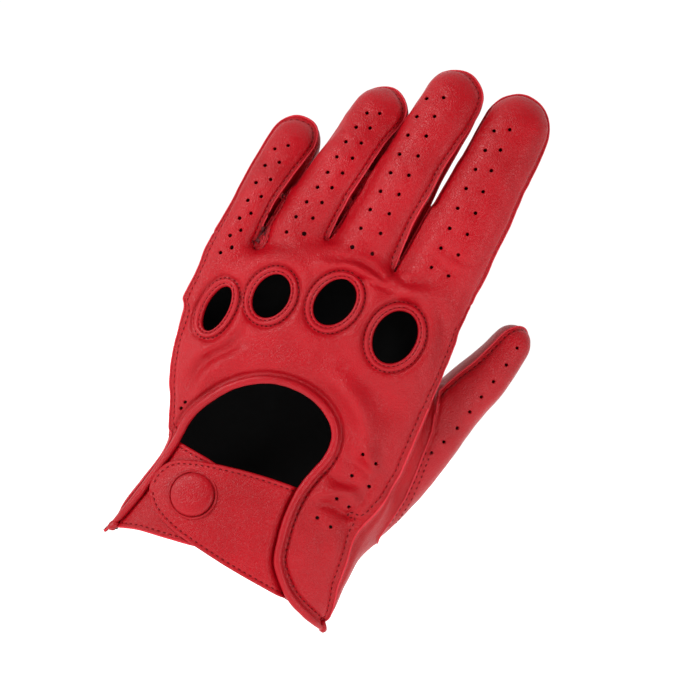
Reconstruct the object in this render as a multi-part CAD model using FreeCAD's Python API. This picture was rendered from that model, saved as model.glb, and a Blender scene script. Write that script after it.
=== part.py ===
import FreeCAD, Part
import math
import os

# A left-hand leather driving glove, standing on its cuff with the fingers up.
# +Z runs from the wrist opening to the fingertips, +X to the thumb, and -Y is
# the back of the hand.  The origin is the centre of the wrist opening.

os.makedirs("parts", exist_ok=True)
Vector = FreeCAD.Vector

# ---- driving dimensions, mm --------------------------------------------------
LEATHER = 1.2            # thickness of one layer of glove leather
LINING = 0.7             # thickness of the thin lining under the palm
RUNNING_GAP = 0.3        # clearance between two bodies at a joint
FINGER_FLEX = 60.0       # degrees that a finger bends towards the palm
THUMB_FLEX = 40.0        # degrees that the thumb tip bends towards the palm
SEAM_Y = 0.0             # depth of the side seams between back and palm
SECTION_POINTS = 24      # points round one section of the hand
SQUARENESS = 2.5         # superellipse power of the hand's sections

CAP_RADIUS = 8.0         # leather-covered snap cap
CAP_HEIGHT = 2.6
SOCKET_RADIUS = 5.5
SOCKET_HOLE = 2.8
STUD_RADIUS = 2.3
STUD_BASE_RADIUS = 5.0
SNAP_AT = (-21.1, 25.5)  # x, z of the snap fastener

STRAP_TOP = 0.8          # heights of the strap's layers over the hand's skin
STRAP_MIDDLE = -0.1
STRAP_BOTTOM = -1.0
TAB_TOP = -1.4
TAB_BOTTOM = -2.6
BINDING_PROUD = 0.9      # how far a binding stands out of the leather
BINDING_INSIDE = -1.7

# Sections of the hand: z, left x, right x, back depth, palm depth, and how far
# the little-finger side falls away towards the palm.
HAND = [
    (-12.0, -44.0, 43.8, 20.0, 21.0, 0.0),
    (0.0, -43.8, 43.5, 19.5, 20.5, 0.0),
    (20.0, -41.2, 40.8, 18.0, 18.5, 0.0),
    (40.0, -38.8, 39.4, 16.5, 17.0, 1.0),
    (58.0, -46.8, 43.6, 15.0, 16.5, 2.0),
    (78.0, -52.8, 43.6, 14.5, 15.0, 3.5),
    (100.0, -54.6, 42.8, 14.0, 13.0, 5.0),
    (116.0, -56.8, 42.2, 12.5, 11.5, 5.0),
    (140.0, -56.8, 41.0, 11.0, 10.5, 5.0),
]

# Fingers: hinge centre (x, y, z), lean in degrees towards the thumb, length past
# the hinge, half widths at hinge and tip, half depths at hinge and tip, bend of
# the tip towards the palm, and the sides that have a wall of their own.
FINGERS = {
    "little": ((-47.6, 4.4, 124.0), 5.0, 47.5, 7.4, 9.5, 9.0, 8.2, 13.0, (1,)),
    "ring": ((-26.3, 2.2, 139.0), 7.9, 56.5, 10.9, 10.0, 9.6, 8.8, 10.0, (-1, 1)),
    "middle": ((-1.9, -0.4, 142.0), 5.2, 69.5, 12.0, 10.9, 9.8, 9.0, 4.5, (-1, 1)),
    "index": ((26.7, -2.6, 142.0), 2.4, 71.0, 14.8, 11.4, 9.8, 9.0, 6.0, (-1,)),
}
# How far each finger's tube runs down to the hand from its hinge.
STUB_LENGTH = {"little": 11.5, "ring": 25.0, "middle": 13.5, "index": 13.5}

THUMB_HINGE = (53.5, 15.0, 98.0)
THUMB_LEAN = 17.6
THUMB_LENGTH = 37.5
THUMB_ROOT = 62.0        # how far the thumb's tube runs down into the palm

# Knuckle holes: centre x, z, long radius, short radius, tilt in degrees.
KNUCKLES = {
    "little": (-43.3, 91.3, 9.0, 4.2, 4.0),
    "ring": (-26.8, 104.1, 8.5, 6.0, 6.0),
    "middle": (-4.5, 112.4, 9.5, 6.5, 12.0),
    "index": (21.2, 110.1, 10.0, 7.5, 4.0),
}
WALL_DEPTH = 0.42        # a side wall's half width, as a part of the finger's depth
WALL_LENGTH = 0.86       # how far up the finger a side wall reaches
KNUCKLE_BINDING = 3.3    # width of the folded ring round a knuckle hole
OPENING_BINDING = 3.0    # width of the piping round the back opening


# ---- small helpers -----------------------------------------------------------
def blend(a, b, f):
    """Straight mix of a and b."""
    return a + (b - a) * f


def closed_spline(points):
    """Closed smooth wire through points, all with the same even parameters."""
    curve = Part.BSplineCurve()
    steps = [float(i) for i in range(len(points) + 1)]
    curve.interpolate(Points=points, PeriodicFlag=True, Parameters=steps)
    return Part.Wire([curve.toShape()])


def prism(outline, y_low, y_high):
    """Closed outline of (x, z) pairs, pushed along Y from y_low to y_high."""
    points = [Vector(x, y_low, z) for x, z in outline]
    wire = Part.makePolygon(points + [points[0]])
    return Part.Face(wire).extrude(Vector(0, y_high - y_low, 0))


def section_values(z):
    """The hand's section values at height z, mixed from the two nearest rows."""
    for low, high in zip(HAND[:-1], HAND[1:]):
        if z <= high[0]:
            f = (z - low[0]) / (high[0] - low[0])
            return [blend(a, b, f) for a, b in zip(low[1:], high[1:])]
    return list(HAND[-1][1:])


def hand_section(z, offset):
    """Closed wire round the hand at height z, offset outwards."""
    left, right, back, palm, fall = section_values(z)
    centre = (left + right) / 2
    half = (right - left) / 2 + offset
    points = []
    for i in range(SECTION_POINTS):
        angle = 2 * math.pi * i / SECTION_POINTS
        c = math.cos(angle)
        s = math.sin(angle)
        x = math.copysign(abs(c) ** (2 / SQUARENESS), c)
        y = math.copysign(abs(s) ** (2 / SQUARENESS), s)
        depth = (palm if y > 0 else back) + offset
        points.append(Vector(centre + half * x, depth * y - fall * x, z))
    return closed_spline(points)


def back_y(x, z, offset):
    """Depth of the back's surface at x, z, at an offset from the skin."""
    left, right, back, palm, fall = section_values(z)
    u = (x - (left + right) / 2) / ((right - left) / 2 + offset)
    return -(back + offset) * (1 - abs(u) ** SQUARENESS) ** (1 / SQUARENESS) - fall * u


form_store = {}


def hand_form(offset):
    """The hand's solid at an offset from the skin, open-ended past the cuff."""
    if offset not in form_store:
        wires = [hand_section(row[0], offset) for row in HAND]
        form_store[offset] = Part.makeLoft(wires, True, False)
    return form_store[offset]


def layer(low, high):
    """The shell between two offsets of the hand's form."""
    return hand_form(high).cut(hand_form(low))


def finger_frame(hinge, lean):
    """Placement of a finger's own frame: Z along the finger, Y to the palm."""
    turn = FreeCAD.Rotation(Vector(0, 1, 0), lean)
    return FreeCAD.Placement(Vector(*hinge), turn)


def finger_tube(shape, inset, low):
    """A finger's solid in its own frame, from low to its rounded tip."""
    length, wide_base, wide_tip, deep_base, deep_tip, curl = shape
    end = length - inset
    tip = wide_tip * 1.15
    stations = [low, low / 2, 0.0, (end - tip) * 0.35, (end - tip) * 0.7]
    for angle in (0, 25, 45, 62, 76, 86):
        stations.append(end - tip + tip * math.sin(math.radians(angle)))
    wires = []
    for s in stations:
        f = max(s, 0.0) / length
        wide = blend(wide_base, wide_tip, f) - inset
        deep = blend(deep_base, deep_tip, f) - inset
        past = max(0.0, (s - (end - tip)) / tip)
        shrink = math.sqrt(max(0.0, 1 - past * past))
        points = []
        for i in range(12):
            angle = 2 * math.pi * i / 12
            x = wide * shrink * math.cos(angle)
            y = deep * shrink * math.sin(angle) + curl * f * f
            points.append(Vector(x, y, s))
        wires.append(closed_spline(points))
    return Part.makeLoft(wires, True, False)


def notch(flex, half_width, side):
    """The space past a joint's V cut: side +1 is above it, -1 is below it."""
    reach = 40.0
    half_gap = RUNNING_GAP / 2 * side
    slope = math.tan(math.radians(flex / 2)) * side
    profile = [
        Vector(-half_width, -reach, half_gap),
        Vector(-half_width, 0, half_gap),
        Vector(-half_width, reach, half_gap + slope * reach),
        Vector(-half_width, reach, side * 2 * reach),
        Vector(-half_width, -reach, side * 2 * reach),
    ]
    face = Part.Face(Part.makePolygon(profile + [profile[0]]))
    return face.extrude(Vector(2 * half_width, 0, 0))


def half_space(side):
    """Everything on the back (-1) or palm (+1) side of the side seams."""
    if side < 0:
        return Part.makeBox(300, 100, 400, Vector(-150, SEAM_Y - 100, -100))
    return Part.makeBox(300, 100, 400, Vector(-150, SEAM_Y, -100))


def ellipse_prism(knuckle, grow):
    """Oval prism through the back at a knuckle, grown all round."""
    x, z, long_radius, short_radius, tilt = knuckle
    ellipse = Part.Ellipse(Vector(0, 0, 0), long_radius + grow, short_radius + grow)
    face = Part.Face(Part.Wire([ellipse.toShape()]))
    solid = face.extrude(Vector(0, 0, 60))
    turn = FreeCAD.Rotation(Vector(1, 0, 0), 90)
    tip_up = FreeCAD.Rotation(Vector(0, 1, 0), tilt - 90)
    solid.Placement = FreeCAD.Placement(Vector(x, SEAM_Y, z), tip_up.multiply(turn))
    return solid


def solids_of(shape, smallest=0.5):
    """The shape's solids, without slivers under smallest mm3."""
    kept = [s for s in shape.Solids if s.Volume > smallest]
    return kept[0] if len(kept) == 1 else Part.makeCompound(kept)


def save(name, shape):
    """Write one node."""
    shape = solids_of(shape)
    shape.exportStep("parts/" + name + ".step")
    print("%-30s %9.1f mm3  %d solid(s)" % (name, shape.Volume, len(shape.Solids)))


# ---- fingers and thumb -------------------------------------------------------
def finger_shape(name):
    """The values that finger_tube needs for one finger."""
    hinge, lean, length, w0, w1, d0, d1, curl, walls = FINGERS[name]
    return (length, w0, w1, d0, d1, curl)


def wall_wedge(shape, side):
    """The long tapered strip that a side wall fills, in the finger's frame."""
    length, wide_base, wide_tip, deep_base, deep_tip, curl = shape
    half = deep_base * WALL_DEPTH
    top = length * WALL_LENGTH
    profile = [Vector(0, -half, -40), Vector(0, half, -40)]
    profile.append(Vector(0, half + curl * 0.3, top * 0.6))
    profile.append(Vector(0, curl * 0.72, top))
    profile.append(Vector(0, -half + curl * 0.3, top * 0.6))
    face = Part.Face(Part.makePolygon(profile + [profile[0]]))
    return face.extrude(Vector(side * 40, 0, 0))


def make_finger(name):
    """One finger's panels above its joint."""
    hinge, lean = FINGERS[name][0], FINGERS[name][1]
    walls = FINGERS[name][8]
    shape = finger_shape(name)
    shell = finger_tube(shape, 0.0, -6.0).cut(finger_tube(shape, LEATHER, -7.0))
    shell = shell.common(notch(FINGER_FLEX, 40.0, 1))
    front = Part.makeBox(80, 60, 200, Vector(-40, shape[5] * 0.3, -60))
    pieces = {}
    rest = shell
    for side in walls:
        wedge = wall_wedge(shape, side)
        label = "fourchette_thumb_side" if side > 0 else "fourchette_little_side"
        pieces[name + "_" + label] = rest.common(wedge)
        rest = rest.cut(wedge)
    pieces[name + "_palm"] = rest.common(front)
    pieces[name + "_back"] = rest.cut(front)
    for label, solid in pieces.items():
        solid.Placement = finger_frame(hinge, lean)
        save(label, solid)


def thumb_tube(inset):
    """The thumb's solid in its own frame, from its root in the palm."""
    stations = [(-THUMB_ROOT, 15.5, 12.0, -10.0), (-THUMB_ROOT * 0.66, 15.0, 11.6, -6.6)]
    stations += [(-THUMB_ROOT * 0.33, 13.4, 11.1, -3.3), (0.0, 11.3, 10.5, 0.0), (14.0, 10.3, 9.8, 0.5)]
    tip = 11.0
    start = THUMB_LENGTH - inset - tip
    for angle in (0, 25, 45, 62, 76, 86):
        past = math.sin(math.radians(angle))
        shrink = math.sqrt(1 - past * past)
        stations.append((start + tip * past, 9.6 * shrink, 9.0 * shrink, 1.0))
    wires = []
    for s, wide, deep, shift in stations:
        cut = inset * (1 if s <= start else math.sqrt(max(0.0, 1 - ((s - start) / tip) ** 2)))
        points = []
        for i in range(12):
            angle = 2 * math.pi * i / 12
            x = (wide - cut) * math.cos(angle)
            y = (deep - cut) * math.sin(angle) + shift
            points.append(Vector(x, y, s))
        wires.append(closed_spline(points))
    return Part.makeLoft(wires, True, True)


thumb_place = finger_frame(THUMB_HINGE, THUMB_LEAN)
thumb_outside = thumb_tube(0.0)
thumb_inside = thumb_tube(LEATHER)
thumb_shell = thumb_outside.cut(thumb_inside)


def make_thumb():
    """The thumb above its joint, a back and a front that meet at side seams."""
    shell = thumb_shell.common(notch(THUMB_FLEX, 40.0, 1))
    front = Part.makeBox(80, 60, 200, Vector(-40, 0.5, -60))
    for label, solid in (("thumb_palm", shell.common(front)), ("thumb_back", shell.cut(front))):
        solid.Placement = thumb_place
        save(label, solid)


# ---- outlines on the back ----------------------------------------------------
OPENING = [
    (-52.0, -30.0), (-47.5, -8.0), (-42.6, 5.5), (-38.7, 20.0), (-36.0, 34.0), (-35.2, 48.0),
    (-31.4, 59.0), (-24.6, 68.6), (-15.0, 75.5), (-4.0, 78.0), (7.0, 76.3), (14.5, 71.5),
    (17.9, 63.5), (16.6, 53.0), (14.3, 44.0), (13.9, 35.0), (15.3, 25.5), (18.6, 15.0),
    (25.5, 6.8), (35.0, 1.8), (44.0, -1.2), (56.0, -6.0), (60.0, -30.0),
]
STRAP = [
    (-35.2, 15.5), (-36.2, 24.0), (-35.0, 31.5), (-31.0, 35.4), (-19.6, 39.2), (-3.0, 42.6),
    (13.6, 44.4), (13.6, 6.3), (-0.4, 7.3), (-18.3, 9.8), (-31.0, 12.4),
]
STRAP_FIXED = [(14.2, 44.2), (30.0, 43.0), (31.0, 5.0), (14.2, 6.3)]
STUD_TAB = [(-46.0, 1.0), (-43.5, 1.6), (-35.0, 5.0), (-24.0, 7.0), (-9.0, 9.5), (-8.0, 39.2),
            (-20.0, 39.6), (-34.6, 40.2), (-46.0, 41.0)]
# The edge between the fingers that closes the hand's top.
FINGER_LINE = [(-62.0, 112.0), (-52.0, 114.0), (-40.3, 115.6), (-28.0, 124.0), (-15.6, 131.2),
               (10.9, 131.9), (46.0, 130.0)]


def opening_prism(grow):
    """The back opening and the gap between the wings, grown all round."""
    points = [Vector(x, 0, z) for x, z in OPENING]
    wire = Part.makePolygon(points + [points[0]])
    if grow:
        wire = wire.makeOffset2D(grow, join=0)
    face = Part.Face(wire)
    face.translate(Vector(0, SEAM_Y - 60, 0))
    return face.extrude(Vector(0, 60, 0))


def below_fingers(drop):
    """Everything below the line between the fingers, lowered by drop."""
    top = [(x, z - drop) for x, z in FINGER_LINE]
    return prism([(-62.0, -60.0)] + top + [(46.0, -60.0)], -60.0, 60.0)


def cuff_edge(rise):
    """Everything below the palm's arched cuff edge, raised by rise."""
    points = [(-60.0, -4.5 + rise), (-44.0, -0.5 + rise), (-30.0, 4.8 + rise)]
    points += [(-12.0, 8.4 + rise), (10.0, 8.4 + rise), (29.0, 4.8 + rise)]
    points += [(44.0, -0.8 + rise), (60.0, -5.5 + rise), (60.0, -60.0), (-60.0, -60.0)]
    return prism(points, -60.0, 60.0)


# ---- the hand ----------------------------------------------------------------
def hand_shell():
    """The hand's leather with the lower ends of its four fingers."""
    outside = hand_form(0.0).common(below_fingers(0.0))
    shell = outside.cut(hand_form(-LEATHER).common(below_fingers(LEATHER)))
    for name, values in FINGERS.items():
        place = finger_frame(values[0], values[1])
        reach = Part.makeBox(80, 80, 60, Vector(-40, -40, -60))
        outer = finger_tube(finger_shape(name), 0.0, -STUB_LENGTH[name])
        inner = finger_tube(finger_shape(name), LEATHER, -STUB_LENGTH[name] - 1.0)
        stub = outer.cut(inner).common(reach)
        bore = inner.common(reach)
        stub.Placement = place
        bore.Placement = place
        shell = shell.cut(bore).fuse(stub.cut(below_fingers(0.0)))
    return shell


def finger_cuts():
    """The spaces above the V cuts where the four fingers start."""
    cuts = []
    for name, values in FINGERS.items():
        half = max(values[3], blend(values[3], values[4], 0.4)) + 0.35
        box = Part.makeBox(2 * half, 80, 44, Vector(-half, -40, -26))
        space = box.cut(notch(FINGER_FLEX, half, -1))
        space.Placement = finger_frame(values[0], values[1])
        cuts.append(space)
    return cuts


def make_hand():
    """The back, the palm with its lining and cuff binding, and the thumb's root."""
    shell = hand_shell()
    for space in finger_cuts():
        shell = shell.cut(space)
    thumb_hole = thumb_inside.copy()
    thumb_hole.Placement = thumb_place

    back = shell.common(half_space(-1))
    back = back.cut(opening_prism(OPENING_BINDING)).cut(thumb_hole)
    for knuckle in KNUCKLES.values():
        back = back.cut(ellipse_prism(knuckle, KNUCKLE_BINDING))
    back = back.cut(cuff_edge(0.0))
    save("back_panel", back)

    hem_top = cuff_edge(5.0)
    palm = shell.common(half_space(1)).cut(thumb_hole).cut(hem_top)
    save("palm_panel", palm)

    inner = layer(-LEATHER - LINING, -LEATHER).common(half_space(1))
    lining = inner.cut(cuff_edge(9.0)).common(prism(
        [(-60.0, 0.0), (-60.0, 104.0), (60.0, 104.0), (60.0, 0.0)], SEAM_Y + 2.0, 60.0))
    save("palm_lining", lining.cut(thumb_hole))

    hem = layer(BINDING_INSIDE, BINDING_PROUD).common(half_space(1))
    save("palm_hem_binding", hem.common(hem_top).cut(cuff_edge(0.0)))

    root = thumb_shell.cut(notch(THUMB_FLEX, 40.0, 1).fuse(thumb_gap()))
    root.Placement = thumb_place
    save("thumb_root", root.cut(hand_form(0.0)))


def thumb_gap():
    """The V of clearance between the thumb's root and its moving end."""
    box = Part.makeBox(80, 80, 90, Vector(-40, -40, -45))
    return box.cut(notch(THUMB_FLEX, 41.0, -1))


def make_bindings():
    """The folded rings round the knuckle holes and the piping of the opening."""
    band = layer(BINDING_INSIDE, BINDING_PROUD).common(half_space(-1))
    for name, knuckle in KNUCKLES.items():
        ring = ellipse_prism(knuckle, KNUCKLE_BINDING).cut(ellipse_prism(knuckle, 0.0))
        save("knuckle_binding_" + name, band.common(ring))
    piping = opening_prism(OPENING_BINDING).cut(opening_prism(0.0))
    save("opening_binding", band.common(piping).cut(cuff_edge(0.0)))


def piping_space():
    """The room that the piping takes in the leather under it."""
    ring = opening_prism(OPENING_BINDING + 0.05).cut(opening_prism(-0.05))
    return layer(BINDING_INSIDE - 0.05, BINDING_PROUD).common(half_space(-1)).common(ring)


def disc(radius, y_low, y_high):
    """Round solid along Y at the snap fastener."""
    x, z = SNAP_AT
    return Part.makeCylinder(radius, y_high - y_low, Vector(x, y_low, z), Vector(0, 1, 0))


def make_strap():
    """The closing strap with its lining and snap cap, and the tab under it."""
    x, z = SNAP_AT
    outline = prism(STRAP, -60.0, SEAM_Y - 2.0)
    strap = layer(STRAP_MIDDLE, STRAP_TOP).common(outline)
    save("closing_strap", strap)

    socket_space = disc(SOCKET_RADIUS, -60.0, SEAM_Y)
    lining = layer(STRAP_BOTTOM, STRAP_MIDDLE).common(outline)
    save("strap_lining", lining.cut(socket_space))
    socket = layer(STRAP_BOTTOM, STRAP_MIDDLE).common(socket_space)
    save("snap_socket", socket.cut(disc(SOCKET_HOLE, -60.0, SEAM_Y)))

    seat = back_y(x, z, STRAP_TOP)
    ball_radius = (CAP_RADIUS ** 2 + CAP_HEIGHT ** 2) / (2 * CAP_HEIGHT)
    ball = Part.makeSphere(ball_radius, Vector(x, seat - CAP_HEIGHT + ball_radius, z))
    dome = ball.common(disc(CAP_RADIUS, seat - CAP_HEIGHT - 1, seat))
    cap = dome.fuse(disc(CAP_RADIUS, seat, seat + 4.0))
    save("snap_cap", cap.cut(hand_form(STRAP_TOP)))

    tab = layer(TAB_BOTTOM, TAB_TOP).common(prism(STUD_TAB, -60.0, SEAM_Y - 2.0))
    base = disc(STUD_BASE_RADIUS, -60.0, SEAM_Y)
    rivet = disc(STUD_RADIUS, -60.0, SEAM_Y)
    save("stud_tab", tab.cut(rivet).cut(piping_space()))
    stud = layer(TAB_BOTTOM, STRAP_MIDDLE - 0.4).common(rivet)
    save("snap_stud", stud)
    save("stud_eyelet", layer(TAB_BOTTOM - 0.8, TAB_BOTTOM).common(base))

    fixed = layer(TAB_BOTTOM, -LEATHER).common(prism(STRAP_FIXED, -60.0, SEAM_Y - 2.0))
    save("strap_fixed_end", fixed.cut(piping_space()))


make_hand()
make_bindings()
make_strap()
for finger in FINGERS:
    make_finger(finger)
make_thumb()
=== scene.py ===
import math

import bmesh
import bpy
import numpy as np
from mathutils import Matrix, Vector


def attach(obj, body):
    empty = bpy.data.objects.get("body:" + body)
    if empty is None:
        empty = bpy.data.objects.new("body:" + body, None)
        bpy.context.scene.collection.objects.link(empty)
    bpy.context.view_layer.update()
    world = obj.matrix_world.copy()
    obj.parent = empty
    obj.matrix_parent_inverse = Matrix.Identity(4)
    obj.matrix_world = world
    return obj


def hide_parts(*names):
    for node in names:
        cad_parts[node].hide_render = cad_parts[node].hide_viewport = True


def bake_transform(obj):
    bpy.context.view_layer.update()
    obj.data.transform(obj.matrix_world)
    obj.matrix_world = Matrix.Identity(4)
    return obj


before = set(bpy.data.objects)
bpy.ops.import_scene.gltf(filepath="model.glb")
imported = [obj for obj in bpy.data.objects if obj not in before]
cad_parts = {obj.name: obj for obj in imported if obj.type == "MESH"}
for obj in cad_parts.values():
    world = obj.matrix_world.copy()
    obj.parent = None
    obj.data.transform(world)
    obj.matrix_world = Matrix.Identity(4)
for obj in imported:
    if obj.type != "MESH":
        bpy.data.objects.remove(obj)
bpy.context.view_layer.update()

# A left-hand leather driving glove.  Everything below is worked out in
# millimetres in the frame of the CAD model and turned into metres only when a
# mesh is made.  +Z runs from the wrist to the fingertips, +X to the thumb and
# -Y is the back of the hand.
MM = 0.001

# ---- sizes -------------------------------------------------------------------
GRID = 1.15              # mm between the points that the leather's form is read on
LEATHER = 1.1            # thickness of the leather
POWER = 2.5              # superellipse power of the hand's sections
FINGER_POWER = 2.35
PERFORATION = 0.87       # radius of a ventilation hole
STITCH_PITCH = 2.35
STITCH_LENGTH = 1.35
STITCH_RADIUS = 0.27
SEAM_MARGIN = 1.55       # from a raised seam edge to its stitches
EDGE_IN = 0.12           # from a seam to the middle of its raised cut edge
EDGE_RADIUS = 0.36
CUT_BELOW_HINGE = 8.5    # where a finger's panels part from the hand's

# z, left x, right x, back depth, palm depth, fall of the little-finger side,
# and how far to the back the side seams sit (left and right), 0 at mid-depth.
HAND_ROWS = np.array([
    (-14.0, -44.8, 44.4, 20.0, 21.0, 0.0, 0.30, 0.20),
    (0.0, -44.0, 43.9, 19.3, 20.5, 0.0, 0.30, 0.22),
    (10.0, -43.6, 44.8, 18.7, 19.5, 0.2, 0.30, 0.38),
    (22.0, -41.3, 44.5, 17.8, 18.5, 0.5, 0.30, 0.52),
    (38.0, -38.9, 45.4, 16.6, 17.5, 1.2, 0.28, 0.62),
    (50.0, -42.6, 46.4, 15.6, 17.0, 2.0, 0.28, 0.50),
    (60.0, -48.0, 46.2, 15.0, 16.5, 2.6, 0.28, 0.38),
    (78.0, -53.2, 45.2, 14.5, 15.0, 3.6, 0.28, 0.38),
    (100.0, -55.0, 43.4, 14.0, 13.0, 5.0, 0.30, 0.26),
    (112.0, -55.4, 42.0, 13.0, 11.8, 5.2, 0.36, 0.14),
    (126.0, -53.6, 40.8, 11.6, 10.8, 5.2, 0.40, 0.06),
    (142.0, -51.0, 40.0, 11.0, 10.5, 5.2, 0.40, 0.03),
])

# Fingers: hinge (x, y, z), lean and roll in degrees, length past the hinge, half
# widths and half depths at the hinge and the tip, bend of the tip to the palm,
# and whether the little-finger and thumb sides have a wall of their own.
FINGERS = {
    "little": ((-47.6, 4.4, 124.0), 6.0, 26.0, 47.5, 7.7, 9.6, 9.0, 8.4, 12.0, (0, 1)),
    "ring": ((-26.3, 2.2, 139.0), 7.9, 19.0, 56.5, 11.1, 10.3, 9.6, 8.8, 9.0, (1, 1)),
    "middle": ((-1.9, -0.4, 142.0), 4.7, 15.0, 69.5, 12.3, 11.3, 9.8, 9.0, 4.5, (1, 1)),
    "index": ((26.6, -2.6, 142.0), 2.1, 5.0, 71.0, 14.6, 11.2, 9.8, 9.0, 6.0, (1, 0)),
}
NAMES = list(FINGERS)
# Where the seams run on each finger's little-finger and thumb side, from the
# middle of its depth, as a part of the depth (negative is towards the back).
SEAM_LEVELS = {"little": (-0.46, -0.24), "ring": (0.05, -0.24), "middle": (0.05, -0.22),
               "index": (0.05, -0.02)}
# The lowest point between two fingers, and the height where the hand ends.
CROTCHES = [(-40.6, 4.0, 116.2), (-16.0, 1.5, 132.0), (10.8, -1.5, 132.8)]
# Where the walls of two fingers touch above their crotch: height, shift of the
# middle to the palm, half depth and reach to each side.
WEBS = [(28.0, 0.6, 4.8, 3.2), (38.0, 0.0, 5.0, 2.2), (27.0, 0.0, 5.0, 2.2)]
TOP_LINE = np.array([(-62, 109), (-52, 112.5), (-40.6, 115.2), (-28, 123.5), (-16, 130.9),
                     (-3, 131.8), (10.8, 131.8), (42, 131.0), (62, 130.0)], float)

THUMB_HINGE = (53.5, 15.0, 98.0)
THUMB_LEAN = 17.6
THUMB_END = 38.6
# Thumb: place along it, half width, half depth, shift to the palm.
THUMB_ROWS = np.array([
    (-66.0, 13.0, 11.0, -11.0), (-44.0, 14.2, 11.6, -7.0), (-22.0, 13.7, 11.2, -3.5),
    (0.0, 10.9, 10.4, 0.0), (14.0, 9.6, 9.4, 0.6), (26.0, 8.0, 8.2, 1.0), (40.0, 6.9, 7.4, 1.0),
])

# Knuckle holes: middle (x, z), long and short radius, tilt in degrees.
KNUCKLES = {
    "little": (-43.3, 91.3, 9.2, 4.1, 3.0),
    "ring": (-26.8, 104.1, 8.8, 6.5, 8.0),
    "middle": (-4.5, 112.2, 9.6, 7.0, 14.0),
    "index": (21.2, 110.1, 10.5, 8.0, 4.0),
}
RING_WIDTH = 2.75

# Outlines in x, z: the opening of the back, then where the palm ends at the cuff.
OPENING = [
    (-47.6, -9.0), (-43.9, 0.8), (-41.2, 9.3), (-38.8, 19.2), (-36.8, 30.7), (-35.5, 40.0),
    (-35.0, 50.0), (-31.9, 58.3), (-25.3, 68.0), (-15.4, 75.3), (-4.0, 78.0), (6.3, 76.5),
    (14.0, 72.0), (17.6, 66.0), (17.9, 59.0), (15.8, 51.6), (14.1, 44.0), (13.9, 35.6),
    (15.0, 26.6), (17.4, 17.4), (21.8, 11.8), (27.6, 6.9), (35.2, 3.5), (43.9, 0.3), (52.0, -3.0),
]
PALM_HEM = np.array([(-60, -6), (-44, 0.4), (-35, 6.5), (-24, 9.6), (-10, 11.2), (5, 11.0),
                     (16, 10.0), (26, 8.8), (35, 4.8), (43.7, 0.0), (60, -6)], float)

# Rows of ventilation holes: first pair and last pair as (x, z), and their number.
PERFORATIONS = {
    "index": (((21.0, 195.4), (26.2, 198.2)), ((22.2, 139.2), (29.6, 139.1)), 8),
    "middle": (((-6.5, 195.9), (-0.7, 198.7)), ((-7.6, 133.4), (0.1, 134.5)), 9),
    "ring": (((-24.6, 181.7), (-19.7, 183.6)), ((-32.0, 128.1), (-26.1, 130.3)), 9),
    "little": (((-50.1, 154.9), (-45.6, 158.2)), ((-51.0, 110.6), (-47.9, 114.1)), 7),
}
WING_HOLES = [(28.9, 65.7), (35.1, 64.9), (28.9, 57.0), (36.4, 56.0), (27.5, 46.8), (32.9, 46.0),
              (24.0, 37.6), (29.9, 36.7), (-38.9, 54.6), (-39.3, 51.9)]
THUMB_HOLES = [(65.2, 126.6), (64.2, 119.0), (62.5, 111.2), (60.8, 104.0), (59.3, 97.0),
               (57.6, 89.5), (55.2, 82.6), (52.6, 77.0)]

# Folds of the back: points (x, z), height (down if negative) and half width.
FOLDS = [
    ([(10.5, 130.5), (9.0, 127.6), (4.1, 128.8), (-0.4, 129.5), (-6.3, 128.8), (-13.1, 126.0)], -0.75, 0.9),
    ([(9.5, 126.2), (4.1, 126.6), (-0.8, 127.2), (-7.0, 126.4), (-15.0, 122.8)], 0.8, 1.8),
    ([(15.0, 129.2), (12.7, 125.6), (8.4, 124.8), (3.7, 124.8), (-2.0, 123.4)], -0.6, 0.9),
    ([(12.4, 131.0), (17.0, 130.4), (21.6, 133.6), (24.7, 138.4)], -0.45, 1.1),
    ([(13.5, 127.6), (19.5, 127.4), (26.0, 130.8)], 0.55, 1.6),
    ([(14.0, 123.6), (20.0, 123.2), (27.0, 124.8)], -0.35, 1.2),
    ([(-41.0, 109.4), (-31.4, 115.4), (-20.7, 121.0), (-8.0, 122.9)], 0.5, 3.0),
    ([(7.0, 87.5), (17.0, 82.6), (24.6, 75.6), (31.5, 68.0)], 1.25, 3.6),
    ([(2.0, 82.6), (12.6, 80.0), (20.4, 74.2), (25.6, 66.4), (27.0, 60.0)], -0.9, 2.6),
    ([(15.0, 92.6), (25.4, 88.0), (33.6, 80.0)], -0.6, 3.6),
    ([(-30.0, 88.0), (-32.4, 80.6), (-37.4, 74.0), (-39.8, 67.0), (-39.2, 58.4)], -0.8, 1.5),
    ([(-33.6, 88.0), (-36.0, 81.0), (-41.0, 74.6), (-43.0, 67.0)], 0.6, 2.2),
    ([(-26.0, 82.0), (-31.4, 75.6), (-35.6, 68.6), (-36.8, 60.0)], 0.55, 2.0),
    ([(21.0, 42.4), (27.3, 43.4), (32.0, 43.0), (36.0, 44.2)], -0.8, 1.3),
    ([(20.6, 45.6), (27.3, 50.0), (31.4, 50.6), (36.0, 49.0)], 0.85, 1.8),
    ([(20.0, 54.2), (26.4, 53.2), (32.0, 54.6)], -0.5, 1.2),
    ([(25.0, 61.4), (31.0, 61.6), (38.5, 59.6)], -0.55, 1.4),
    ([(24.0, 68.8), (31.0, 66.0), (36.0, 60.6), (38.4, 54.0)], 0.8, 2.2),
    ([(36.0, 66.0), (37.2, 58.0), (36.0, 50.0), (34.0, 42.0)], -0.5, 1.4),
    ([(29.0, 38.6), (34.0, 33.0), (36.6, 24.0)], 0.5, 2.4),
    ([(22.0, 148.2), (29.5, 146.2), (36.0, 147.0)], -0.22, 0.9),
    ([(21.0, 143.0), (28.0, 141.4), (36.0, 142.6)], -0.2, 0.9),
    ([(31.0, 126.0), (36.6, 120.0), (39.4, 111.0)], -0.3, 1.6),
]

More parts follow.
